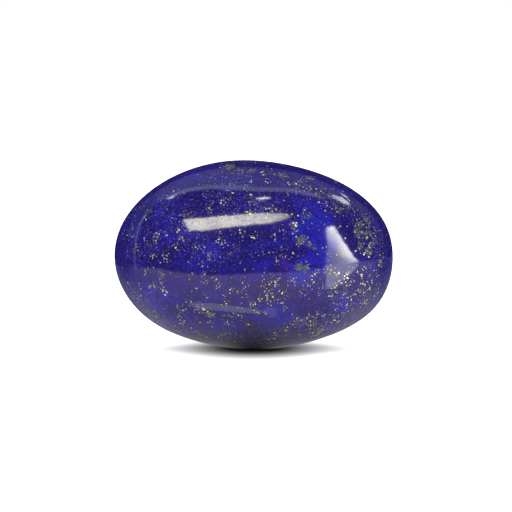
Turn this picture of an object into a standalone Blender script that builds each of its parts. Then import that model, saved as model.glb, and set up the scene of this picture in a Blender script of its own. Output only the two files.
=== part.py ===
"""A polished oval pebble of lapis lazuli: one solid stone that stands on a small rest spot."""

import math

import bmesh
import bpy
from mathutils import Vector

# Driving dimensions, in metres. +X is the long way, +Y goes to the back, +Z is up.
HALF_LENGTH = 0.02035
HALF_DEPTH = 0.0129
HALF_HEIGHT = 0.0141
REST_DEPTH = 0.01322

# Soft flats that grinding left on the oval: where each faces and how far it lies from the middle.
# The turn goes from the right end up over the crown, and the lean goes towards the back, in degrees.
WORN_FLATS = {
    "right_end": (0, 4, 0.0216),
    "right_shoulder": (52, -9, 0.0179),
    "crown": (77, 8, 0.0149),
    "belly_left": (260, -6, 0.0148),
    "belly_right": (284, 5, 0.0147),
    "front": (90, -86, 0.0144),
    "back": (120, 78, 0.0137),
    "back_low_left": (215, 48, 0.0166),
    "back_low_right": (330, 52, 0.0172),
    "back_high_right": (35, 45, 0.0184),
}

# How tightly the oval and its flats meet: a high number gives a narrower bend between them.
BLEND_POWER = 12

SPHERE_SUBDIVISIONS = 5
SHARP_EDGE = math.radians(12)

# Points this close to the rest plane are moved onto it, so that the cut leaves no tiny edges.
SNAP_DISTANCE = 0.00003

STONE_BLUE = (0.034, 0.019, 0.202, 1.0)
POLISH_ROUGHNESS = 0.1


def clear_scene():
    """Remove whatever the scene holds at the start."""
    for obj in list(bpy.context.scene.objects):
        bpy.data.objects.remove(obj, do_unlink=True)


def facing(turn, lean):
    """Unit vector of a flat that faces the given turn and lean, in degrees."""
    turn_angle = math.radians(turn)
    lean_angle = math.radians(lean)
    level = math.cos(lean_angle)
    return Vector((math.cos(turn_angle) * level, math.sin(lean_angle), math.sin(turn_angle) * level))


FLAT_PLANES = [(facing(turn, lean), distance) for turn, lean, distance in WORN_FLATS.values()]


def surface_distance(direction):
    """Distance from the middle of the stone to its surface, along a unit direction.

    The oval and each flat give the inverse of their own distance, and the sum of their high powers
    lets the nearest one win, with a smooth bend from one to the next.
    """
    oval = Vector((direction.x / HALF_LENGTH, direction.y / HALF_DEPTH, direction.z / HALF_HEIGHT))
    total = oval.length ** BLEND_POWER
    for normal, distance in FLAT_PLANES:
        total += max(0.0, direction.dot(normal) / distance) ** BLEND_POWER
    return total ** (-1.0 / BLEND_POWER)


def cut_rest_spot(mesh):
    """Cut the underside off level at the rest depth and close it with one flat face."""
    everything = mesh.verts[:] + mesh.edges[:] + mesh.faces[:]
    cut = bmesh.ops.bisect_plane(
        mesh,
        geom=everything,
        plane_co=(0.0, 0.0, -REST_DEPTH),
        plane_no=(0.0, 0.0, -1.0),
        dist=SNAP_DISTANCE,
        use_snap_center=True,
        clear_outer=True,
    )
    rim = [item for item in cut["geom_cut"] if isinstance(item, bmesh.types.BMEdge)]
    bmesh.ops.edgeloop_fill(mesh, edges=rim)


def stand_on_origin(mesh):
    """Move the stone so that the origin is under the middle of its box, at the rest spot."""
    lowest = Vector([min(vertex.co[axis] for vertex in mesh.verts) for axis in range(3)])
    highest = Vector([max(vertex.co[axis] for vertex in mesh.verts) for axis in range(3)])
    middle = (lowest + highest) / 2
    bmesh.ops.translate(mesh, verts=mesh.verts, vec=(-middle.x, -middle.y, -lowest.z))


def stone_material():
    """Deep blue polished stone."""
    material = bpy.data.materials.new("polished_lapis")
    material.use_nodes = True
    shader = material.node_tree.nodes["Principled BSDF"]
    shader.inputs["Base Color"].default_value = STONE_BLUE
    shader.inputs["Roughness"].default_value = POLISH_ROUGHNESS
    shader.inputs["Metallic"].default_value = 0.0
    return material


def make_stone(collection):
    """The pebble: a sphere drawn out to the worn oval, then cut level where it rests."""
    mesh = bmesh.new()
    bmesh.ops.create_icosphere(mesh, subdivisions=SPHERE_SUBDIVISIONS, radius=1.0)
    for vertex in mesh.verts:
        direction = vertex.co.normalized()
        vertex.co = direction * surface_distance(direction)
    cut_rest_spot(mesh)
    stand_on_origin(mesh)
    bmesh.ops.recalc_face_normals(mesh, faces=mesh.faces)
    data = bpy.data.meshes.new("stone")
    mesh.to_mesh(data)
    mesh.free()
    data.shade_smooth()
    data.set_sharp_from_angle(angle=SHARP_EDGE)
    data.materials.append(stone_material())
    stone = bpy.data.objects.new("stone", data)
    collection.objects.link(stone)
    return stone


def main():
    clear_scene()
    collection = bpy.data.collections.new("lapis_pebble")
    bpy.context.scene.collection.children.link(collection)
    make_stone(collection)


main()
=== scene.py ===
"""Looks of the polished lapis lazuli pebble: its fine mesh, its minerals and a small photo studio."""
import math

import bmesh
import bpy
import numpy as np
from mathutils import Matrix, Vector
from mathutils.bvhtree import BVHTree
from mathutils.interpolate import poly_3d_calc


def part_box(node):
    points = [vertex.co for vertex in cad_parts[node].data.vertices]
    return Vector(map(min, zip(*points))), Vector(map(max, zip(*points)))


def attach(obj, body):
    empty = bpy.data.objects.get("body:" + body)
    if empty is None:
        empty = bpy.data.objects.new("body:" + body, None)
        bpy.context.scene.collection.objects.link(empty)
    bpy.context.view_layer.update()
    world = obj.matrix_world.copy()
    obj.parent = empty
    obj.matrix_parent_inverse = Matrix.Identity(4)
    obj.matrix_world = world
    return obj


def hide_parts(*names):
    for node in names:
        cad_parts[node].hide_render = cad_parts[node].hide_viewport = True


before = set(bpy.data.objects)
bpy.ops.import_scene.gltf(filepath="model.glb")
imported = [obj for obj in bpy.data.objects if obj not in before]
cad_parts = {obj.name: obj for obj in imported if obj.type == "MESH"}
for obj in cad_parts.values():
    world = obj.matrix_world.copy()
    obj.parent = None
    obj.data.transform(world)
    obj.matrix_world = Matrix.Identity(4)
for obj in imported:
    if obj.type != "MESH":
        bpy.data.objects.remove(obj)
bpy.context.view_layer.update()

MM = 0.001

# The stone's rule, in metres: half axes of the oval, and the level of its rest spot under the middle.
HALF_AXES = (0.02035, 0.0129, 0.0141)
REST_DEPTH = 0.01322
BLEND_POWER = 12.0

# Soft flats that grinding left: turn from the right end over the crown, lean to the back, distance.
WORN_FLATS = {
    "right end": (0, 4, 0.0216),
    "right shoulder": (52, -9, 0.0179),
    "crown": (77, 8, 0.0149),
    "belly left": (260, -6, 0.0148),
    "belly right": (284, 5, 0.0147),
    "front": (90, -86, 0.0144),
    "back": (120, 78, 0.0137),
    "back low left": (215, 48, 0.0166),
    "back low right": (330, 52, 0.0172),
    "back high right": (35, 45, 0.0184),
}

POINTS_PER_EDGE = 112
REST_EDGE_SOFTNESS = 0.08 * MM
WAVE_LENGTH = 7 * MM
WAVE_HEIGHT = 0.03 * MM
WAVE_DETAIL = 1.0

# The waves fade out towards the rest spot. These are the surface's distance from the middle less the
# rest plane's, where the waves are full and where they are gone.
WAVES_FULL = -2.5 * MM
WAVES_GONE = -0.6 * MM

# The least downward share of a direction, so that the distance to the rest plane stays finite.
LEAST_DROP = 0.001


class Wire:
    """One output of a node. Python's operators on it add the Math nodes that work out the sum."""

    def __init__(self, board, socket):
        self.board = board
        self.socket = socket

    def __add__(self, other):
        return self.board.math("ADD", self, other)

    def __radd__(self, other):
        return self.board.math("ADD", other, self)

    def __sub__(self, other):
        return self.board.math("SUBTRACT", self, other)

    def __rsub__(self, other):
        return self.board.math("SUBTRACT", other, self)

    def __mul__(self, other):
        return self.board.math("MULTIPLY", self, other)

    def __rmul__(self, other):
        return self.board.math("MULTIPLY", other, self)

    def __truediv__(self, other):
        return self.board.math("DIVIDE", self, other)

    def __rtruediv__(self, other):
        return self.board.math("DIVIDE", other, self)

    def __pow__(self, other):
        return self.board.math("POWER", self, other)


class Board:
    """A node tree, with one method that adds any kind of node to it."""

    def __init__(self, tree):
        self.tree = tree

    def node(self, kind, settings=None, values=None, output=0):
        """Add a node, set it up, fill or link its sockets, and give back one of its outputs."""
        added = self.tree.nodes.new(kind)
        for name, value in (settings or {}).items():
            setattr(added, name, value)
        for name, value in (values or {}).items():
            socket = added.inputs[name]
            if isinstance(value, Wire):
                self.tree.links.new(value.socket, socket)
            else:
                socket.default_value = value
        return Wire(self, added.outputs[output])

    def math(self, operation, *values):
        return self.node("ShaderNodeMath", {"operation": operation}, dict(enumerate(values)))

    def vector(self, operation, *values, output="Vector"):
        settings = {"operation": operation}
        return self.node("ShaderNodeVectorMath", settings, dict(enumerate(values)), output)

    def scaled(self, vector, factor):
        settings = {"operation": "SCALE"}
        return self.node("ShaderNodeVectorMath", settings, {0: vector, "Scale": factor})

    def step(self, value, low, high):
        """0 below low, 1 above high, with a smooth rise between them. High may be the lower one."""
        settings = {"interpolation_type": "SMOOTHSTEP"}
        values = {"Value": value, "From Min": low, "From Max": high}
        return self.node("ShaderNodeMapRange", settings, values)

    def noise(self, place, size, detail=2.0, roughness=0.5, output="Fac"):
        values = {"Vector": place, "Scale": 1 / size, "Detail": detail, "Roughness": roughness}
        return self.node("ShaderNodeTexNoise", {}, values, output)

    def attribute(self, name):
        return self.node("ShaderNodeAttribute", {"attribute_name": name}, {}, "Fac")

    def mix(self, factor, first, second):
        settings = {"data_type": "RGBA"}
        return self.node("ShaderNodeMix", settings, {0: factor, 6: first, 7: second}, 2)

    def finish(self, kind, wire, socket="Surface"):
        """Link a wire to the closing node of the tree."""
        closing = self.tree.nodes.new(kind)
        self.tree.links.new(wire.socket, closing.inputs[socket])


def new_material(name):
    """An empty material and the board of its nodes."""
    material = bpy.data.materials.new(name)
    material.use_nodes = True
    material.node_tree.nodes.clear()
    return material, Board(material.node_tree)


def facing(turn, lean):
    """Unit vector of a flat that faces the given turn and lean, in degrees."""
    turn_angle = math.radians(turn)
    lean_angle = math.radians(lean)
    level = math.cos(lean_angle)
    return Vector((math.cos(turn_angle) * level, math.sin(lean_angle), math.sin(turn_angle) * level))


def socket_kind(value):
    """The kind of socket that holds a value."""
    if isinstance(value, bpy.types.Material):
        return "NodeSocketMaterial"
    if isinstance(value, int):
        return "NodeSocketInt"
    return "NodeSocketFloat" if isinstance(value, float) else "NodeSocketVector"


def pebble_inputs(material):
    """Everything the pebble's tree is driven by, by name."""
    inputs = {
        "Points per edge": POINTS_PER_EDGE,
        "Half axes": HALF_AXES,
        "Rest depth": REST_DEPTH,
        "Blend power": BLEND_POWER,
        "Rest edge softness": REST_EDGE_SOFTNESS,
        "Wave length": WAVE_LENGTH,
        "Wave height": WAVE_HEIGHT,
        "Stone material": material,
    }
    for name, (turn, lean, distance) in WORN_FLATS.items():
        inputs[name + " facing"] = tuple(facing(turn, lean))
        inputs[name + " distance"] = distance
    return inputs


def pebble_tree(inputs):
    """A cube of points drawn out to the worn oval, level where it rests and waved by hand polishing."""
    tree = bpy.data.node_groups.new("pebble", "GeometryNodeTree")
    board = Board(tree)
    for name, value in inputs.items():
        tree.interface.new_socket(name=name, in_out="INPUT", socket_type=socket_kind(value))
    tree.interface.new_socket(name="Geometry", in_out="OUTPUT", socket_type="NodeSocketGeometry")
    given = tree.nodes.new("NodeGroupInput")
    drive = {name: Wire(board, given.outputs[name]) for name in inputs}

    points = drive["Points per edge"]
    sides = {"Vertices X": points, "Vertices Y": points, "Vertices Z": points}
    cube = board.node("GeometryNodeMeshCube", {}, {"Size": (2.0, 2.0, 2.0), **sides})
    place = board.node("GeometryNodeInputPosition")
    even = board.vector("TANGENT", board.scaled(place, math.pi / 4))
    direction = board.vector("NORMALIZE", even)

    power = drive["Blend power"]
    oval = board.vector("DIVIDE", direction, drive["Half axes"])
    total = board.vector("LENGTH", oval, output="Value") ** power
    for name in WORN_FLATS:
        leaning = board.vector("DOT_PRODUCT", direction, drive[name + " facing"], output="Value")
        reach = board.math("MAXIMUM", leaning / drive[name + " distance"], 0.0)
        total = total + reach ** power
    radius = total ** (-1.0 / power)

    height = board.node("ShaderNodeSeparateXYZ", {}, {0: direction}, "Z")
    drop = board.math("MAXIMUM", 0.0 - height, LEAST_DROP)
    level = drive["Rest depth"] / drop
    radius = board.math("SMOOTH_MIN", radius, level, drive["Rest edge softness"])

    surface = board.scaled(direction, radius)
    waves = {"Vector": surface, "Scale": 1.0 / drive["Wave length"], "Detail": WAVE_DETAIL}
    wave = board.node("ShaderNodeTexNoise", {}, waves, "Fac")
    clear_of_rest = 1.0 - board.step(radius - level, WAVES_FULL, WAVES_GONE)
    radius = radius + (wave - 0.5) * drive["Wave height"] * clear_of_rest
    waved = board.scaled(direction, radius)

    shaped = board.node("GeometryNodeSetPosition", {}, {"Geometry": cube, "Position": waved})
    smooth = board.node("GeometryNodeSetShadeSmooth", {}, {"Geometry": shaped})
    real = board.node("GeometryNodeRealizeInstances", {}, {"Geometry": smooth})
    coated = {"Geometry": real, "Material": drive["Stone material"]}
    board.finish("NodeGroupOutput", board.node("GeometryNodeSetMaterial", {}, coated), "Geometry")
    return tree


def grow(name, tree, inputs):
    """Run a tree on an empty object and keep its result as a plain mesh."""
    seed = bpy.data.objects.new(name, bpy.data.meshes.new(name))
    bpy.context.scene.collection.objects.link(seed)
    modifier = seed.modifiers.new(name, "NODES")
    modifier.node_group = tree
    identifiers = {item.name: item.identifier for item in tree.interface.items_tree
                   if item.in_out == "INPUT"}
    for input_name, value in inputs.items():
        modifier[identifiers[input_name]] = value
    grown = bpy.data.meshes.new_from_object(seed.evaluated_get(bpy.context.evaluated_depsgraph_get()))
    seed.modifiers.remove(modifier)
    seed.data = grown
    return seed


def points_of(mesh):
    """The places of a mesh's points, as rows of x, y and z."""
    places = np.empty(len(mesh.vertices) * 3)
    mesh.vertices.foreach_get("co", places)
    return places.reshape(-1, 3)


def stand_in_frame(stone):
    """Move the fine stone's points so that its box lies on the solid's, with its rest spot level."""
    low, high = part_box("stone")
    places = points_of(stone.data)
    shift = (low + high) / 2 - Vector((places.min(0) + places.max(0)) / 2)
    shift.z = low.z - places[:, 2].min()
    for vertex in stone.data.vertices:
        vertex.co += shift
    return stone


# Groups of grains and patches on the front, each as x, height, reach and strength. All but the
# last are in millimetres. Their places are judged from the photo.
GOLD_GRAINS = [
    (-17.8, 9.2, .5, .8), (-16.2, 9.4, .4, .8), (-14.8, 9.2, .5, .9), (-14, 9.4, .5, .9),
    (-12.8, 8.7, .5, .7), (-16.5, 8.2, .7, .7), (-15.1, 11.6, .5, .8), (-13.2, 11.2, .5, 1),
    (-13.2, 10.1, .4, .7), (-9.1, 11.1, .5, .9), (-6.7, 10.1, .5, .8), (-5.4, 10.4, .6, .8),
    (-4.9, 9.7, .5, .8), (-7.1, 11.3, .4, .8), (-3, 10.3, .5, .9), (-1.4, 10.5, .5, .8),
    (-1.2, 9.4, .4, .8), (-2.1, 8.9, .5, .8), (-3.1, 9.2, .4, .8), (-1.1, 8.3, .4, .9),
    (-.5, 7.6, .4, .9), (-.2, 6.8, .5, .9), (-.1, 6.1, .4, .8), (-8.1, 9, .4, .8), (-6.8, 8.2, .5, .8),
    (-3.8, 8.2, .5, .8), (-3.4, 7.4, .5, .9), (-4.2, 6.7, .4, .8), (-2, 6.5, .5, .8),
    (-9.1, 7.1, .5, .8), (-10.2, 6.1, .8, 1), (-7.4, 6.1, .8, 1), (-6.2, 5.7, .5, .9),
    (-2.7, 5.9, .5, .8), (-1.4, 5.1, .5, .8), (-.8, 4.1, .5, .8), (-3.8, 5.2, .6, .8),
    (-4, 4.4, .5, .8), (-3.1, 4.1, .5, .8), (-7.9, 4.5, .4, .8), (-6.1, 4.3, .4, .8),
    (-10.6, 4.8, .5, .8), (-10.1, 4.3, .5, .7), (-11.3, 3.8, .5, .7), (-8.4, 3, .6, .8),
    (-7.3, 2.1, .5, .7), (-5.1, 2.3, .5, .7), (-4.3, 2.6, .4, .7), (-3.5, 1.9, .5, .7),
    (-.8, 1.5, .4, .7), (1.9, 10.1, .5, .8), (2, 9.4, .9, 1), (3.4, 10.7, .4, .8), (3.4, 10, .5, .8),
    (5.5, 10.2, .7, 1), (4.2, 8.9, .6, .9), (5, 8.3, .6, .9), (2.3, 8.2, .6, .9), (3.2, 8.2, .7, 1),
    (4, 7.8, .5, .9), (1.5, 7.5, .4, .8), (.9, 7.7, .5, .9), (2.4, 7.1, .4, .9), (3.8, 7.1, .4, .9),
    (4.4, 6.5, .4, .9), (7.2, 9.8, .4, .8), (7.1, 9, .4, .8), (6.9, 8.4, .4, .7), (8.1, 10.3, .6, .5),
    (8.3, 11, .4, .9), (9, 11.6, .4, .9), (10, 11.6, .3, .8), (9.4, 8.7, .3, .9), (10.8, 12, .4, .9),
    (10.9, 11.5, .4, .9), (12, 11.2, .4, .9), (13.7, 11.8, .4, .9), (13, 11, .5, .9),
    (12.2, 10.1, .5, .9), (13.2, 10, .5, .9), (13.9, 10.2, .5, .9), (13.2, 9.4, .5, .9),
    (11.7, 9.3, .5, 1), (11.2, 8.7, .5, .9), (11.1, 8.2, .5, .9), (11.9, 8.7, .4, .8),
    (11.6, 6.3, .7, 1), (12.9, 8.2, .4, .9), (13.2, 7.8, .5, .8), (14.2, 7.9, .5, .8),
    (13.4, 6.7, .6, .8), (15.6, 9.6, .6, .9), (16.5, 9.4, .5, .8), (17.5, 9.2, .5, .9),
    (15.8, 8.6, .9, 1), (14.9, 9, .5, .8), (16.3, 11.7, .8, .7), (16.7, 11.1, .7, .7),
    (17.7, 11.1, .5, .7), (15.6, 7, .7, .8), (17.5, 8, .4, .8), (7.6, 5.5, .4, .9), (7.9, 4.8, .6, 1),
    (8.3, 4.1, .6, .9), (9.1, 5.7, .4, 1), (9, 5, .4, .8), (9.7, 5.1, .4, .8), (10.6, 5.1, .5, .8),
    (11.2, 4.8, .9, 1), (12.7, 5.4, .6, .9), (12.1, 4.2, .4, .9), (5.8, 4.4, .8, .9), (4.8, 4, .6, .8),
    (4.2, 3.3, .5, .9), (4.8, 3.2, .5, .9), (5.7, 5.3, .4, .7), (3.3, 2.4, .5, .8), (2.6, 2.1, .5, .8),
    (6.7, 2.2, .5, .8), (4.7, 2.2, .5, .7), (8.9, 2.5, .8, .7), (9.7, 3.3, .7, .7), (1.3, 5.5, .5, .9),
    (.6, 6, .6, .9), (-.3, 6.7, .6, .8), (-3.5, 26, .5, .6), (-3.3, 24.9, .5, .6), (-.4, 24.3, .4, .7),
    (-1, 23.4, .4, .7), (-2.8, 23.6, .6, .6), (-.8, 22.2, .5, .9), (-.2, 21.3, .5, 1),
    (-4, 21.3, .5, .7), (-3.5, 21.8, .4, .7), (-6.3, 20.4, .6, .7), (-6, 21.2, .3, .8),
    (-9.8, 19.7, .5, .7), (-8.9, 19.7, .4, .7), (-.6, 19.8, .5, .9), (-5.1, 19.2, .4, .8),
    (-15.3, 18.8, .5, .6), (-14.8, 19.9, .4, .7), (-13.7, 16.6, .5, .7), (-14.1, 16.1, .5, .7),
    (-15.2, 15.3, .5, .7), (-10.8, 15.1, .5, .9), (-10.1, 16.3, .4, .7), (-12.3, 13.5, .5, .7),
    (-14.1, 13.8, .5, .6), (-14.4, 12.8, .5, .6), (-1.5, 17.1, .5, .8), (-4.7, 15.9, .5, .7),
    (-6, 13.9, .5, .7), (-3.3, 14, .5, .7), (-2.5, 15.1, .5, .7), (-8.2, 15, .5, .7),
    (-7.3, 14.9, .4, .7), (-16.7, 14.6, .5, .6), (1.5, 25.4, .5, .7), (2, 24.3, .5, .7),
    (2.9, 25.3, .5, .6), (4.2, 24.8, .5, .6), (5, 23.9, .6, .6), (6.4, 24, .5, .6), (7.7, 23.1, .4, .7),
    (8.2, 22.8, .4, .7), (-.2, 21.5, .5, .8), (1.2, 20.4, .4, .8), (2.3, 20.7, .5, .7),
    (3.1, 20.7, .5, .7), (1.9, 19.5, .5, .7), (5, 22, .5, .6), (5.1, 19.4, .5, .6), (7.6, 19.7, .6, .5),
    (7, 19.1, .5, .5), (5.8, 18.1, .4, .6), (5.7, 17.5, .4, .6), (4.1, 17.5, .5, .6),
    (3.1, 16.6, .5, .7), (.1, 16.8, .5, .7), (4.1, 14.9, .4, .8), (4.2, 13.8, .5, .9),
    (3.4, 13.4, .5, .9), (5.5, 13.9, .5, .6), (10.6, 14.1, .4, .7), (12, 18.1, .4, .6),
    (10.6, 20.5, .6, .6), (11.3, 20.3, .6, .6), (12, 20.4, .6, .6), (12.8, 20.3, .6, .6),
    (13.5, 19.8, .6, .6), (13.9, 19.2, .5, .6), (14.8, 14.6, .5, .7), (16, 13.9, .6, .7),
    (15.2, 11.3, .5, .8), (18, 12.4, .6, .5),
]
DULL_PATCHES = [
    (6.7, 16.1, .8, 1.15), (7.9, 15.4, .5, 1.2), (8.6, 15, .4, 1), (6.3, 12.3, .6, 1.2),
    (7.4, 12.2, .6, 1.15), (-3.5, 26.3, 1.1, .9), (-1.9, 25.6, .9, .9), (-.3, 25.8, .8, .9),
    (4.2, 25, .9, .8), (8, 24.7, .8, .8), (7, 24, 1.2, .6), (10, 22.5, 1.4, .6), (13, 21, 1.4, .65),
    (12.1, 20, 1.2, .6), (14.9, 18.1, .8, 1), (16.1, 18.6, .9, .9), (16, 17.8, .8, .9),
    (14.9, 17.1, .8, 1), (16.2, 16.8, 1, 1), (17.1, 15.5, .8, .9), (15.3, 15.5, .8, .9),
    (16.3, 14.2, .8, .9), (17.9, 13, 1.2, .6), (17.6, 16.8, 1.2, .6), (7.4, 19.5, .8, .6),
    (5.6, 18.2, .7, .8), (1.5, 1.2, 1, .8), (5.5, 1.5, .8, .8), (8.1, 3.5, .6, .7), (2.6, 11.1, .5, .7),
    (-14.4, 5.2, 1, .8), (-14.1, 4.5, 1.1, .8), (-6, 5.3, .6, .8), (3, 2.5, .9, .7), (9.2, 2.8, .9, .7),
    (-11, 3.2, 1, .6), (-14, 14, 1.3, .5), (-13.6, 16.3, .7, .6), (-18, 16.5, 1.2, .5),
    (-16.8, 20, 1.4, .5), (18.3, 7, 1.6, .55), (17, 5, 1.8, .6), (15, 3.4, 1.6, .6),
    (12.5, 2.4, 1.6, .6), (-17.5, 5.5, 1.6, .5), (-16, 3.6, 1.4, .5),
]
BRIGHT_CLOUDS = [
    (8.2, 18, 3, 1), (9.5, 15.5, 2.4, .9), (6.7, 11.5, 1.6, 1), (8.6, 12.6, 1.8, .9),
    (-7.5, 12.5, 3, .25), (2, 14.5, 2.6, .45), (-11, 18, 2.6, .4), (-1.5, 14, 2.2, .15),
    (16.5, 13.5, 1.8, .5), (3, 4.6, 2.6, .6), (12.5, 6.5, 1.5, .5), (-13, 7.5, 2.5, .4),
    (-2, 23.8, 2.4, .4), (-12.7, 21, 2, .3), (-4, 3.5, 2.5, .5),
]
VIOLET_CLOUDS = [(4.3, 12.2, 1.4, 1), (6, 14.2, .9, .5), (-5, 9.3, 1.8, .35), (9, 8, 2, .3)]
PALE_CLOUDS = [
    (2.5, 5.8, 1.1, .8), (6.7, 4.1, .9, .9), (-6, 6.5, 1.5, .35), (1.3, 7, 1.2, .4), (7, 7.4, 2.2, .3),
]
SPECKLED_AREAS = [
    (-10, 18, 3.4, .8), (-6.5, 15.2, 3, .7), (-3, 19.8, 3, .7), (-1, 15.5, 2.6, .3), (-14, 17, 2.4, .6),
    (2, 16, 2, .4), (11, 22, 2.2, .8), (15.5, 19.5, 2, .8), (18, 15, 2, .7), (-17, 14, 2, .6),
    (2, 21, 2.4, .9), (-4, 21.5, 3, .6), (-12.7, 21, 2.2, .8), (7, 22, 2, .6), (12.3, 8.6, 1.8, 1),
    (11, 9.4, 1.5, 1), (14, 7.5, 1.8, .7), (-4, 24, 3, .5), (11, 4, 2, .5),
]
SPOT_KINDS = {
    "gold": GOLD_GRAINS,
    "dull": DULL_PATCHES,
    "bright": BRIGHT_CLOUDS,
    "violet": VIOLET_CLOUDS,
    "pale": PALE_CLOUDS,
    "speckle": SPECKLED_AREAS,
}

# Spots strewn over the sides and back, which the photo doesn't show: how many, least and most reach
# in metres, and strength. They are judged from the front.
STREWN_SPOTS = {
    "gold": (330, 0.4 * MM, 0.9 * MM, 0.9),
    "dull": (55, 0.6 * MM, 1.3 * MM, 0.8),
    "bright": (26, 1.6 * MM, 3.4 * MM, 0.9),
    "violet": (9, 1 * MM, 2 * MM, 0.7),
    "pale": (9, 1 * MM, 2 * MM, 0.7),
    "speckle": (22, 1.6 * MM, 3.2 * MM, 0.8),
}
STREW_SEED = 11

# How strong the weakest strewn spot is beside the strongest.
LEAST_STREWN_SHARE = 0.6

# How far a normal leans to the back: placed spots stay below the first, strewn ones above the second.
PLACED_LIMIT = 0.05
STREWN_LIMIT = -0.12

# A spot's mask starts above 1 in its middle, loses so much over each reach, and is cut off at 1.
SPOT_PEAK = 1.7
SPOT_FALL = 1.1


def spot_centres(kind, places, normals, chance):
    """Centres on the surface, reaches and strengths of one kind of spot, placed and strewn."""
    front = np.flatnonzero(normals[:, 1] < PLACED_LIMIT)
    for x, height, reach, strength in SPOT_KINDS[kind]:
        gaps = (places[front, 0] - x * MM) ** 2 + (places[front, 2] - height * MM) ** 2
        yield places[front[gaps.argmin()]], reach * MM, strength
    count, least, most, strength = STREWN_SPOTS[kind]
    hidden = np.flatnonzero(normals[:, 1] > STREWN_LIMIT)
    for centre in chance.choice(hidden, count):
        yield places[centre], chance.uniform(least, most), strength * chance.uniform(LEAST_STREWN_SHARE, 1)


def spread_spots(stone):
    """Give the mesh one soft mask for each kind of spot, for the material to read."""
    mesh = stone.data
    places = points_of(mesh)
    normals = np.array([vertex.normal for vertex in mesh.vertices])
    chance = np.random.default_rng(STREW_SEED)
    for kind in SPOT_KINDS:
        mask = np.zeros(len(places))
        for centre, reach, strength in spot_centres(kind, places, normals, chance):
            gap = np.sqrt(((places - centre) ** 2).sum(1)) / reach
            mask = np.maximum(mask, strength * np.clip(SPOT_PEAK - gap * SPOT_FALL, 0, 1))
        layer = mesh.attributes.new(kind, "FLOAT", "POINT")
        layer.data.foreach_set("value", mask.astype(np.float32))


# Linear colours of the minerals that more than one layer uses.
DEEP_BLUE = (0.01, 0.005, 0.13, 1.0)
DARK_VEIN = (0.012, 0.01, 0.05, 1.0)
WHITISH = (0.3, 0.28, 0.42, 1.0)
GOLD = (0.95, 0.9, 0.66, 1.0)
DULL_GOLD = (0.11, 0.11, 0.07, 1.0)

# Layers of colour over the deep blue: the values of its pattern at which each starts and is full, how
# much it covers there, and its colour.
LAYERS = {
    "middle blue": (0.0, 0.5, 1.0, (0.015, 0.008, 0.19, 1.0)),
    "bright blue": (0.35, 1.0, 1.0, (0.017, 0.012, 0.33, 1.0)),
    "veins": (0.46, 0.26, 0.85, DARK_VEIN),
    "pale dust": (0.5, 0.85, 1.0, WHITISH),
    "dark dust": (0.48, 0.25, 0.8, DARK_VEIN),
    "violet": (0.3, 1.1, 0.38, (0.085, 0.018, 0.28, 1.0)),
    "pale violet": (0.4, 1.1, 0.6, (0.11, 0.1, 0.3, 1.0)),
    # Underside grey: partly greyish stone, partly a painted reflection of the white floor.
    "underside grey and painted floor reflection": (6 * MM, 1 * MM, 0.5, (0.13, 0.12, 0.14, 1.0)),
    "teal": (0.6, 0.8, 0.7, (0.01, 0.034, 0.28, 1.0)),
    "dull olive": (0.75, 1.15, 0.85, (0.115, 0.12, 0.075, 1.0)),
    "dark rims": (0.0, 1.0, 0.85, (0.028, 0.028, 0.018, 1.0)),
}

# The blue is lighter where this sum of noises and masks is high.
LIGHTNESS = {"clouds": 0.8, "wisps": 0.35, "bright": 0.34}
LIGHTNESS_SPAN = (0.42, 0.98)

# Noises that make the borders of clouds ragged and those of olive patches crumbly.
RAGGED = {"wisps": 1.2, "mottle": 1.0}
CRUMBS = {"mottle": 2.4, "powder": 1.8, "wisps": 1.0}
OLIVE_AT_GOLD = 0.3

# Noises that vary the stone, from wide clouds to fine powder: size, detail and roughness. Those of the
# beds lie in tilted, drawn out beds that a wide swirl bends.
BED_NOISES = {
    "clouds": (4.5 * MM, 5.0, 0.62),
    "green": (2.2 * MM, 3.0, 0.6),
    "wisps": (1.1 * MM, 4.0, 0.65),
}
EVEN_NOISES = {
    "mottle": (0.5 * MM, 3.0, 0.7),
    "powder": (0.21 * MM, 1.0, 0.6),
}

# How much some of the noises and masks count in the patterns of the layers.
DUST_MOTTLE = 0.5
VIOLET_SPOTS = 0.8
VIOLET_RAGGEDNESS = 1.2
PALE_RAGGEDNESS = 0.7
TEAL_IN_CLOUDS = 0.12

# How the beds lie, how they are drawn out, and the swirl that bends them.
BED_TILT = math.radians(32)
BED_STRETCH = (0.55, 1.0, 1.3)
SWIRL_SIZE = 5 * MM
SWIRL_REACH = 3.5 * MM

# Pale dust is thicker in the speckled areas.
DUST_EVERYWHERE = 0.12
DUST_IN_SPECKLE = 0.26

# Share of the cells that hold a stray grain: everywhere, where the clouds are light, and in olive.
STRAY_GRAINS = 0.012
STRAY_IN_CLOUDS = 0.04
STRAY_SPAN = (0.5, 0.75)
STRAY_IN_OLIVE = 0.3

# The underside grey, partly a painted reflection of the white floor, climbs higher on the two ends:
# from so far past the middle, by so much for each millimetre.
GREY_CLIMB_START = 11 * MM
GREY_CLIMB = 0.8
GREY_RAGGEDNESS = 4 * MM
GREY_GAPS = (0.25, 0.6)

# Size of a grain's cell, and the radius of its grain as a share of the cell, before it varies.
COARSE_GRAINS = (0.42 * MM, 0.29)
FINE_GRAINS = (0.24 * MM, 0.4)
PALE_DOTS = (0.25 * MM, 0.33)

# Fine grains for each coarse one, the share of the cells that hold a pale dot, everywhere and more in
# the speckled areas, and how much a dot covers: the least, and how far that varies.
FINE_GRAIN_SHARE = 0.85
DOTS_EVERYWHERE = 0.03
DOTS_IN_SPECKLE = 0.42
DOT_COVER = (0.3, 0.6)

# How the cells are bent, and how a grain's own radius, edge and dark rim follow from its cell.
BEND_FINENESS = 2.6
BEND_REACH = 1.2
LEAST_RADIUS = 0.5
RADIUS_SPREAD = 0.75
GRAIN_EDGE = (1.05, 0.85)
DARK_RIM = (2.0, 1.1)

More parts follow.
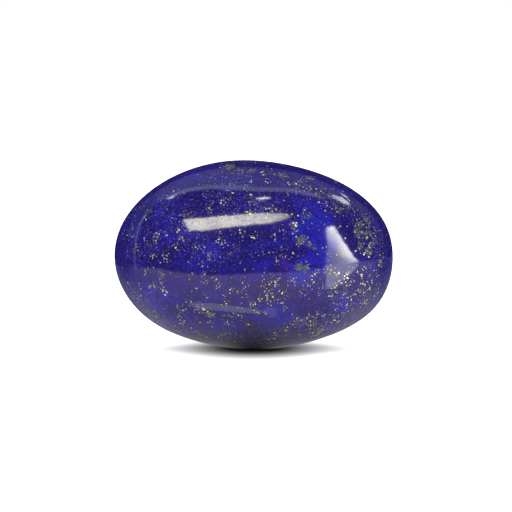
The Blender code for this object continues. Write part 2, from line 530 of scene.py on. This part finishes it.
# Powder turns some of each grain from dull to bright gold.
POWDER_SHIFT = 1.6
COARSE_GLINT = (0.45, 1.1)
FINE_GLINT = (0.45, 1.2)

# The finish: polish, and how much rougher and lower gold, pale dots and olive patches are polished.
POLISH_ROUGHNESS = 0.09
ROUGHER = {"gold": 0.3, "dots": 0.2, "olive": 0.15}
LOWER = {"gold": 1.0, "dots": 0.6, "olive": 0.5}
MOTTLE_RELIEF = 0.4
POWDER_RELIEF = 0.3
RELIEF_STRENGTH = 0.18
RELIEF_DEPTH = 0.02 * MM
GOLD_METAL = 0.6


def stone_noises(board, place):
    """All noises of the stone, by name."""
    tilted = {"Vector": place, "Rotation": (0.0, BED_TILT, 0.0), "Scale": BED_STRETCH}
    swirl = board.noise(place, SWIRL_SIZE, output="Color")
    beds = board.vector("ADD", board.node("ShaderNodeMapping", {}, tilted), board.scaled(swirl, SWIRL_REACH))
    noises = {name: board.noise(beds, *sizes) for name, sizes in BED_NOISES.items()}
    noises.update({name: board.noise(place, *sizes) for name, sizes in EVEN_NOISES.items()})
    return noises


def weighted(weights, wires):
    """Sum of wires, each times its weight."""
    total = 0.0
    for name, weight in weights.items():
        total = wires[name] * weight + total
    return total


def swing(weights, noises):
    """Sum of noises, each times its weight, that swings about 0."""
    return weighted(weights, noises) - sum(weights.values()) / 2


def layer_share(board, name, pattern):
    """How far a layer has come up, 0 to 1, from its pattern."""
    start, full, _, _ = LAYERS[name]
    return board.step(pattern, start, full)


def covered(board, below, name, share):
    """A colour with one layer laid over it."""
    _, _, cover, color = LAYERS[name]
    return board.mix(share * cover, below, color)


def blue_ground(board, place, masks, noises):
    """The blue with its clouds, veins and dust, and the underside grey: partly painted floor reflection."""
    wisps, powder = noises["wisps"], noises["powder"]
    mottle = noises["mottle"] - 0.5
    lightness = board.step(weighted(LIGHTNESS, {**noises, **masks}), *LIGHTNESS_SPAN)
    ragged = swing(RAGGED, noises)
    patterns = {
        "middle blue": lightness,
        "bright blue": lightness,
        "veins": wisps + mottle,
        "pale dust": powder + mottle * DUST_MOTTLE,
        "dark dust": powder,
        "violet": masks["violet"] * VIOLET_SPOTS + ragged * VIOLET_RAGGEDNESS,
        "pale violet": masks["pale"] + ragged * PALE_RAGGEDNESS,
        # Partly painted floor reflection: grey near the bottom.
        "underside grey and painted floor reflection": grey_and_reflection_level(board, place, wisps),
        "teal": noises["green"] + masks["bright"] * TEAL_IN_CLOUDS,
    }
    limits = {
        "pale dust": masks["speckle"] * DUST_IN_SPECKLE + DUST_EVERYWHERE,
        "underside grey and painted floor reflection": board.step(noises["mottle"], *GREY_GAPS),
        "teal": masks["bright"],
    }
    blue = DEEP_BLUE
    for name, pattern in patterns.items():
        share = layer_share(board, name, pattern)
        if name in limits:
            share = share * limits[name]
        blue = covered(board, blue, name, share)
    return blue


def grey_and_reflection_level(board, place, wisps):
    """Height that the underside grey, partly painted floor reflection, goes by; lower on the two ends."""
    along = board.node("ShaderNodeSeparateXYZ", {}, {0: place}, "X")
    height = board.node("ShaderNodeSeparateXYZ", {}, {0: place}, "Z")
    past = board.math("MAXIMUM", board.math("ABSOLUTE", along) - GREY_CLIMB_START, 0.0)
    return height - past * GREY_CLIMB + (wisps - 0.5) * GREY_RAGGEDNESS


def grains(board, place, sizes, amount):
    """Masks of small angular grains and of their dark rims, and each grain's own shade.

    There is at most one grain in a cell, and more cells have one where the amount is high.
    """
    size, radius = sizes
    noise = board.noise(place, size / BEND_FINENESS, output="Color")
    bend = board.vector("SUBTRACT", noise, (0.5, 0.5, 0.5))
    bent = board.vector("ADD", place, board.scaled(bend, size * BEND_REACH))
    distance = board.node("ShaderNodeTexVoronoi", {}, {"Vector": bent, "Scale": 1.0 / size}, "Distance")
    cell_color = Wire(board, distance.socket.node.outputs["Color"])
    lot = board.node("ShaderNodeSeparateColor", {}, {0: cell_color}, "Red")
    shade = Wire(board, lot.socket.node.outputs["Green"])
    kept = board.math("LESS_THAN", lot, amount)
    own_radius = (shade * shade * RADIUS_SPREAD + LEAST_RADIUS) * radius
    mask = board.step(distance, *(own_radius * edge for edge in GRAIN_EDGE)) * kept
    rim = board.step(distance, *(own_radius * edge for edge in DARK_RIM)) * kept
    return mask, rim, shade


def gilded(board, below, mask, shade, powder, glint):
    """A colour with gold grains over it, brighter in the grains of a high shade."""
    bright = board.step(shade + (powder - 0.5) * POWDER_SHIFT, *glint)
    return board.mix(mask, below, board.mix(bright, DULL_GOLD, GOLD))


def lapis_material():
    """Polished lapis: blue clouds, pyrite grains, dull matrix and fine whitish speckle."""
    material, board = new_material("polished_lapis")
    place = board.node("ShaderNodeTexCoord", {}, {}, "Object")
    masks = {kind: board.attribute(kind) for kind in SPOT_KINDS}
    noises = stone_noises(board, place)
    mottle, powder = noises["mottle"], noises["powder"]

    crumbs = swing(CRUMBS, noises)
    olive = layer_share(board, "dull olive", masks["dull"] + masks["gold"] * OLIVE_AT_GOLD + crumbs)
    color = covered(board, blue_ground(board, place, masks, noises), "dull olive", olive)

    stray = board.step(noises["clouds"], *STRAY_SPAN) * STRAY_IN_CLOUDS + STRAY_GRAINS
    amount = masks["gold"] + masks["dull"] * STRAY_IN_OLIVE + stray
    coarse, coarse_rim, coarse_shade = grains(board, place, COARSE_GRAINS, amount)
    fine, fine_rim, fine_shade = grains(board, place, FINE_GRAINS, amount * FINE_GRAIN_SHARE)
    amount = masks["speckle"] * DOTS_IN_SPECKLE + DOTS_EVERYWHERE
    dots, _, dots_shade = grains(board, place, PALE_DOTS, amount)

    color = covered(board, color, "dark rims", board.math("MAXIMUM", coarse_rim, fine_rim))
    least_cover, cover_spread = DOT_COVER
    color = board.mix(dots * (dots_shade * cover_spread + least_cover), color, WHITISH)
    color = gilded(board, color, coarse, coarse_shade, powder, COARSE_GLINT)
    color = gilded(board, color, fine, fine_shade, powder, FINE_GLINT)

    gold = board.math("MAXIMUM", coarse, fine)
    roughness = POLISH_ROUGHNESS
    relief = mottle * MOTTLE_RELIEF + powder * POWDER_RELIEF
    for name, mask in (("gold", gold), ("dots", dots), ("olive", olive)):
        roughness = mask * ROUGHER[name] + roughness
        relief = relief - mask * LOWER[name]
    polish = {"Height": relief, "Strength": RELIEF_STRENGTH, "Distance": RELIEF_DEPTH}
    surface = board.node("ShaderNodeBsdfPrincipled", {}, {
        "Base Color": color, "Roughness": roughness, "Metallic": gold * GOLD_METAL,
        "Normal": board.node("ShaderNodeBump", {}, polish)})
    board.finish("ShaderNodeOutputMaterial", surface)
    return material


# The studio. The camera stands in front of the stone and looks slightly down on it.
CAMERA_ELEVATION = 3.0
CAMERA_DISTANCE = 0.6
FRAME_WIDTH = 73.6 * MM
PHOTO_PIXELS = 512
AIM = Vector((0.34 * MM, 0.0, 13.23 * MM))
SENSOR_WIDTH = 36.0

# How far the panels stand from the places on the stone that mirror them, the streaks farther off.
PANEL_DISTANCE = 0.485
STREAK_DISTANCE = 1.5

# Points of the stone that are farther than this from the side window don't mirror it.
WINDOW_REACH = 0.4875
WINDOW_SOFTNESS = 1.5 * MM

# Colour of each lamp's light, and how uneven its cloth makes it.
LAMP_LIGHT = ((1.0, 0.97, 0.7), 1.3)
STREAK_LIGHT = ((1.0, 0.99, 0.92), 0.15)
WINDOW_LIGHT = ((1.0, 0.99, 0.92), 0.3)
CEILING_LIGHT = ((1.0, 1.0, 1.0), 0.8)
EVEN_LIGHT = ((1.0, 1.0, 1.0), 0.0)
CLOTH_SIZE = 12 * MM
CLOTH_DETAIL = 3.0
CLOTH_ROUGHNESS = 0.7
FOLD_SPAN = (0.35, 0.65)

SUN_STRENGTH = 2.6
SUN_WIDTH = 80
SUN_LEAN = -12

# Strength of the white world: as the camera sees it, as the stone mirrors it, and as it lights things.
WORLD_SEEN = 1.0
WORLD_MIRRORED = 0.015
WORLD_LIGHT = 0.6

# The seen floor lies just under the stone, the mirrored sheet halfway up to it.
FLOOR_DEPTH = 0.02 * MM
FLOOR_REACH = 3.0

# The painted shadow on the paper under the stone is longer from front to back, because y counts for
# less than x in the distance from its middle. The mirrored paper grows dim and white between two depths.
SHADOW_SPOT_SHAPE = (1.0, 0.46, 0.0)
FADE_START = -32 * MM
FADE_END = 20 * MM
WHITE_GLOW = (0.8, 0.8, 0.8, 1.0)
NO_GLOW = (0.0, 0.0, 0.0, 1.0)

# The two papers: their grey away from the painted shadow and in it, the glow, the dark middle of the
# painted shadow and its whole reach, and the share of glow that is left at the back.
FLOOR_PAPER = {
    "light": 0.72, "dark": 0.1, "glow": WHITE_GLOW, "shadow_core": 3 * MM, "reach": 15 * MM, "far_glow": 1.0,
}
MIRRORED_PAPER = {
    "light": 0.25, "dark": 0.03, "glow": (0.82, 0.62, 0.78, 1.0), "shadow_core": 0.5 * MM, "reach": 6 * MM,
    "far_glow": 0.06,
}

# What the polish mirrors, each as the outline of its mirror image: x and y in the photo's pixels, and
# glow where it changes from corner to corner.
STRIP = [
    (183, 219.6, 15), (190, 230.6, 15), (210, 230, 12), (230, 227, 15), (250, 224.8, 13), (270, 223, 12),
    (281, 220.5, 9), (291, 216.3, 7), (285, 213.6, 8), (270, 213.3, 11), (250, 214, 14),
    (230, 215.6, 14), (210, 217.4, 15), (196, 218.6, 16),
]
SIDE_WINDOW = [
    (326.2, 228.6, 14), (330, 226.4, 20), (334, 226, 22), (337.3, 232.3, 24), (343.7, 242.3, 24),
    (349, 249.8, 24), (353, 256.5, 22), (359.3, 262.3, 16), (356.2, 268.2, 9), (352, 272.5, 7),
    (345.3, 278.2, 5), (337, 285, 2), (333, 288, 1), (328, 290, .6), (325.5, 282, .6), (325.3, 259, 1.8),
    (327.6, 246, 3), (326.4, 236, 8),
]
SIDE_WINDOW_MIDDLE = (337, 256, 4)
DASH = [(257, 199.6, 24), (269.5, 198.8, 24), (268.5, 197.2, 24), (257, 198.2, 24)]
RIGHT_STREAK = [
    (330, 195, 3), (337, 195.8, 6), (343, 198.4, 8), (348.6, 202.4, 12), (348.8, 204.8, 12),
    (343.5, 203.2, 9), (337, 199.8, 5), (331.5, 197.6, 3),
]
THIN_STREAK = [(340.5, 193, 6), (344.5, 195, 6), (348.5, 198.6, 6), (347, 198.4, 6), (343, 195.6, 6)]
LEFT_EDGE = [
    (137, 268, .6), (136.4, 247, 1.1), (137.6, 237, 1.1), (140.6, 225.4, 1.2), (144, 219, 1.2),
    (148, 213.3, .9), (152.8, 209, .5), (151.6, 207.6, .4), (146.4, 211.7, .7), (142, 217.6, 1),
    (138.8, 224.6, 1.1), (135.8, 236.4, 1), (134.6, 247, .9), (135, 268, .5),
]
LEFT_STREAK = [(166, 199.2, 7), (170, 197, 9), (174, 195.4, 10), (174.5, 197.2, 12), (170, 198.8, 10)]

# Front edge of a dim ceiling, from left to right in the mirror image. The middle stretch has a
# brighter rim.
CEILING_EDGE = [
    (136.5, 240, .25), (139, 228, .14), (143, 217, .1), (155, 205, .15), (168, 198.5, .4),
    (189.5, 191.5, .6), (209.5, 189, .6), (230.5, 190, .6), (259.5, 192, .55), (298, 193.5, .5),
    (320, 198.5, .35), (342, 205, .25), (360, 215, .15), (374.5, 230, .1), (378.5, 242, .1),
]
CEILING_RIM = slice(4, 11)
CEILING_DEPTH = 2.3
CEILING_BACK_GLOW = 0.16
CEILING_HEIGHT = 2.0135
CEILING_RIM_GLOW = 1.5
CEILING_RIM_WIDTH = 0.28
CEILING_RIM_DROP = 1 * MM

# Edge of the white paper, past which lies a dark room, and how far back the paper reaches.
SHEET_EDGE = [
    (124.5, 267), (134.5, 267.5), (145, 268), (160, 268.5), (179.5, 272.5), (200.5, 275), (225.5, 275),
    (249.5, 273.5), (270, 273), (295, 272), (320, 270), (340, 265.5), (358.5, 261.5), (375.5, 260.5),
    (385.5, 259.5),
]
SHEET_BACK = 0.4

# Two paler sheets on the paper: one under the side window and one close to the stone.
SIDE_PATCH = [
    (359, 263.5), (356, 268.5), (352, 272.8), (345.5, 278.5), (337, 285), (330.5, 289), (326, 287),
    (324.5, 265),
]
SIDE_PATCH_GLOW = 4.4
NEAR_PATCH = [
    (189, 303), (198, 302.5), (213, 303.3), (231, 305.3), (249, 308), (265, 311.5), (254, 313),
    (232, 311.5), (212, 310), (196, 308.5),
]
NEAR_PATCH_GLOW = 2.2


def camera_place():
    """Where the camera stands."""
    rise = math.radians(CAMERA_ELEVATION)
    return AIM + Vector((0.0, -math.cos(rise), math.sin(rise))) * CAMERA_DISTANCE


class Mirror:
    """The polished stone as a mirror: where the camera's rays go after they meet it."""

    def __init__(self, stone):
        self.mesh = stone.data
        faces = [face.vertices for face in self.mesh.polygons]
        self.tree = BVHTree.FromPolygons([vertex.co for vertex in self.mesh.vertices], faces)

    def ray(self, x, y):
        """The place on the stone under one of the photo's pixels, and the way its mirrored ray goes."""
        rise = math.radians(CAMERA_ELEVATION)
        across = Vector((1.0, 0.0, 0.0)) * (x / PHOTO_PIXELS - 0.5) * FRAME_WIDTH
        upwards = Vector((0.0, math.sin(rise), math.cos(rise))) * (0.5 - y / PHOTO_PIXELS) * FRAME_WIDTH
        way = (AIM + across + upwards - camera_place()).normalized()
        place, _, face, _ = self.tree.ray_cast(camera_place(), way)
        corners = [self.mesh.vertices[corner] for corner in self.mesh.polygons[face].vertices]
        weights = poly_3d_calc([corner.co for corner in corners], place)
        normal = Vector()
        for corner, weight in zip(corners, weights):
            normal += corner.normal * weight
        return place, way.reflect(normal.normalized())

    def at_distance(self, x, y, distance):
        """Where the mirrored ray is after a distance."""
        place, way = self.ray(x, y)
        return place + way * distance

    def at_height(self, x, y, height):
        """Where the mirrored ray reaches a height."""
        place, way = self.ray(x, y)
        return place + way * ((height - place.z) / way.z)


def staged_polygon(name, corners, material):
    """A flat or folded panel through its corners, which is part of the studio."""
    mesh = bmesh.new()
    mesh.faces.new([mesh.verts.new(corner) for corner in corners])
    bmesh.ops.triangulate(mesh, faces=mesh.faces)
    return staged_mesh(name, mesh, material)


def staged_mesh(name, mesh, material):
    """Turn a working mesh into an object of the studio."""
    data = bpy.data.meshes.new(name)
    mesh.to_mesh(data)
    mesh.free()
    data.materials.append(material)
    panel = bpy.data.objects.new(name, data)
    bpy.context.scene.collection.objects.link(panel)
    return panel


def only_reflected(panel):
    """Leave a panel to mirror-like rays alone."""
    panel.visible_camera = False
    panel.visible_diffuse = False
    panel.visible_shadow = False
    panel.visible_transmission = False
    return panel


def glow_material(name, light, reach=None):
    """A glow stored at the corners of its panel. With a reach, only nearer points mirror it."""
    tint, unevenness = light
    material, board = new_material(name)
    place = board.node("ShaderNodeNewGeometry", {}, {}, "Position")
    cloth = board.noise(place, CLOTH_SIZE, CLOTH_DETAIL, CLOTH_ROUGHNESS)
    folds = 1.0 + (board.step(cloth, *FOLD_SPAN) - 0.5) * unevenness
    strength = board.attribute("glow") * folds
    if reach:
        travelled = board.node("ShaderNodeLightPath", {}, {}, "Ray Length")
        strength = strength * board.step(travelled, reach + WINDOW_SOFTNESS, reach - WINDOW_SOFTNESS)
    glow = board.node("ShaderNodeEmission", {}, {"Color": board.scaled(tint, strength)})
    board.finish("ShaderNodeOutputMaterial", glow)
    return material


def glowing_face(name, rim, material, middle=None):
    """A glowing panel through its rim, and around its middle where it has one, as places and glows."""
    mesh = bmesh.new()
    layer = mesh.verts.layers.float.new("glow")
    corners = []
    for place, glow in rim + ([middle] if middle else []):
        corner = mesh.verts.new(place)
        corner[layer] = glow
        corners.append(corner)
    if middle:
        hub = corners.pop()
        for first, second in zip(corners, corners[1:] + corners[:1]):
            mesh.faces.new((hub, first, second))
    else:
        bmesh.ops.triangulate(mesh, faces=[mesh.faces.new(corners)])
    return only_reflected(staged_mesh(name, mesh, material))


def glowing_panel(name, mirror, outline, material, middle=None, distance=PANEL_DISTANCE):
    """A glowing panel whose mirror image in the stone has the given outline."""
    rim = [(mirror.at_distance(x, y, distance), glow) for x, y, glow in outline]
    if middle:
        x, y, glow = middle
        middle = (mirror.at_distance(x, y, distance), glow)
    return glowing_face(name, rim, material, middle)


def floor_patch(name, mirror, outline, glow, material):
    """A glowing sheet on the floor whose mirror image in the stone has the given outline."""
    return glowing_face(name, [(mirror.at_height(x, y, 0.0), glow) for x, y in outline], material)


def level_band(name, front, depth, back_glow, material):
    """A level glowing panel behind a front edge, whose glow changes from the edge to its back."""
    mesh = bmesh.new()
    layer = mesh.verts.layers.float.new("glow")
    rows = []
    for place, glow in front:
        near = mesh.verts.new(place)
        far = mesh.verts.new(place + Vector((0.0, depth, 0.0)))
        near[layer] = glow
        far[layer] = min(glow, back_glow)
        rows.append((near, far))
    for first, second in zip(rows, rows[1:]):
        mesh.faces.new((first[0], second[0], second[1], first[1]))
    return only_reflected(staged_mesh(name, mesh, material))


def paper_material(name, light, dark, glow, shadow_core, reach, far_glow):
    """White paper that glows a little, with a soft painted shadow under the stone and a dimmer far part."""
    material, board = new_material(name)
    place = board.node("ShaderNodeNewGeometry", {}, {}, "Position")
    distance = board.vector("LENGTH", board.vector("MULTIPLY", place, SHADOW_SPOT_SHAPE), output="Value")
    depth = board.node("ShaderNodeSeparateXYZ", {}, {0: place}, "Y")
    far = board.step(depth, FADE_START, FADE_END)
    # Painted shadow: close under the stone the paper turns dark grey and its glow fades out.
    shine = board.step(distance, shadow_core, reach) * (1.0 - far * (1 - far_glow))
    grey = board.mix(shine, (dark, dark, dark, 1.0), (light, light, light, 1.0))
    paper = board.node("ShaderNodeBsdfPrincipled", {}, {
        "Base Color": grey, "Roughness": 1.0, "Specular IOR Level": 0.0,
        "Emission Color": board.mix(shine, NO_GLOW, board.mix(far, glow, WHITE_GLOW)),
        "Emission Strength": 1.0})
    board.finish("ShaderNodeOutputMaterial", paper)
    return material


def make_floor(mirror):
    """The white floor that is seen, and the smaller sheet of paper that the stone mirrors."""
    far = FLOOR_REACH
    corners = [(-far, -far), (far, -far), (far, far), (-far, far)]
    # Both papers carry a painted shadow under the stone.
    paper = paper_material("white_paper_painted_shadow", **FLOOR_PAPER)
    floor = staged_polygon("floor", [(x, y, -FLOOR_DEPTH) for x, y in corners], paper)
    floor.visible_glossy = False
    mirrored = paper_material("mirrored_paper_painted_shadow", **MIRRORED_PAPER)
    edge = [mirror.at_height(x, y, -FLOOR_DEPTH / 2) for x, y in SHEET_EDGE]
    back = [Vector((corner.x, SHEET_BACK, corner.z)) for corner in (edge[-1], edge[0])]
    sheet = staged_polygon("sheet", edge + back, mirrored)
    only_reflected(sheet)


def make_panels(mirror):
    """The lamps, the windows, the ceiling and the paler sheets that only the stone mirrors."""
    streak = glow_material("window_glow", STREAK_LIGHT)
    grey = glow_material("grey_glow", EVEN_LIGHT)
    dim = glow_material("ceiling_glow", CEILING_LIGHT)
    glowing_panel("strip", mirror, STRIP, glow_material("lamp_glow", LAMP_LIGHT))
    near_window = glow_material("near_window_glow", WINDOW_LIGHT, WINDOW_REACH)
    glowing_panel("side_window", mirror, SIDE_WINDOW, near_window, SIDE_WINDOW_MIDDLE)
    for name, outline in (("dash", DASH), ("right_streak", RIGHT_STREAK), ("thin_streak", THIN_STREAK),
                          ("left_streak", LEFT_STREAK), ("left_edge", LEFT_EDGE)):
        glowing_panel(name, mirror, outline, streak, distance=STREAK_DISTANCE)

    front = [(mirror.at_height(x, y, CEILING_HEIGHT), glow) for x, y, glow in CEILING_EDGE]
    level_band("ceiling", front, CEILING_DEPTH, CEILING_BACK_GLOW, dim)
    under = Vector((0.0, 0.0, -CEILING_RIM_DROP))
    bright = [(place + under, CEILING_RIM_GLOW) for place, _ in front[CEILING_RIM]]
    level_band("ceiling_rim", bright, CEILING_RIM_WIDTH, CEILING_RIM_GLOW, grey)

    floor_patch("side_patch", mirror, SIDE_PATCH, SIDE_PATCH_GLOW, grey)
    floor_patch("near_patch", mirror, NEAR_PATCH, NEAR_PATCH_GLOW, grey)


def make_sun():
    """A wide, soft light from overhead, which the stone doesn't mirror."""
    data = bpy.data.lights.new("overhead", "SUN")
    data.energy = SUN_STRENGTH
    data.angle = math.radians(SUN_WIDTH)
    sun = bpy.data.objects.new("overhead", data)
    sun.rotation_euler = (math.radians(SUN_LEAN), 0.0, 0.0)
    sun.visible_glossy = False
    bpy.context.scene.collection.objects.link(sun)


def make_world():
    """A white world that the stone mirrors as a dark room."""
    world = bpy.data.worlds.new("studio")
    world.use_nodes = True
    world.node_tree.nodes.clear()
    board = Board(world.node_tree)
    seen = board.node("ShaderNodeLightPath", {}, {}, "Is Camera Ray")
    mirrored = Wire(board, seen.socket.node.outputs["Is Glossy Ray"])
    unseen = mirrored * WORLD_MIRRORED + (1.0 - mirrored) * WORLD_LIGHT
    strength = seen * WORLD_SEEN + (1.0 - seen) * unseen
    sky = board.node("ShaderNodeBackground", {}, {"Color": (1.0, 1.0, 1.0, 1.0), "Strength": strength})
    board.finish("ShaderNodeOutputWorld", sky)
    bpy.context.scene.world = world


def make_camera():
    """The camera at the photo's viewing angle."""
    data = bpy.data.cameras.new("camera")
    data.sensor_width = SENSOR_WIDTH
    data.lens = SENSOR_WIDTH * CAMERA_DISTANCE / FRAME_WIDTH
    camera = bpy.data.objects.new("camera", data)
    camera.location = camera_place()
    camera.rotation_euler = (math.radians(90 - CAMERA_ELEVATION), 0.0, 0.0)
    bpy.context.scene.collection.objects.link(camera)
    bpy.context.scene.camera = camera


bpy.context.scene.view_settings.view_transform = "Standard"
make_camera()
make_world()
make_sun()

lapis = lapis_material()
inputs = pebble_inputs(lapis)
stone = stand_in_frame(grow("lapis_stone", pebble_tree(inputs), inputs))
spread_spots(stone)
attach(stone, "root")
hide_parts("stone")

stone_mirror = Mirror(stone)
make_floor(stone_mirror)
make_panels(stone_mirror)
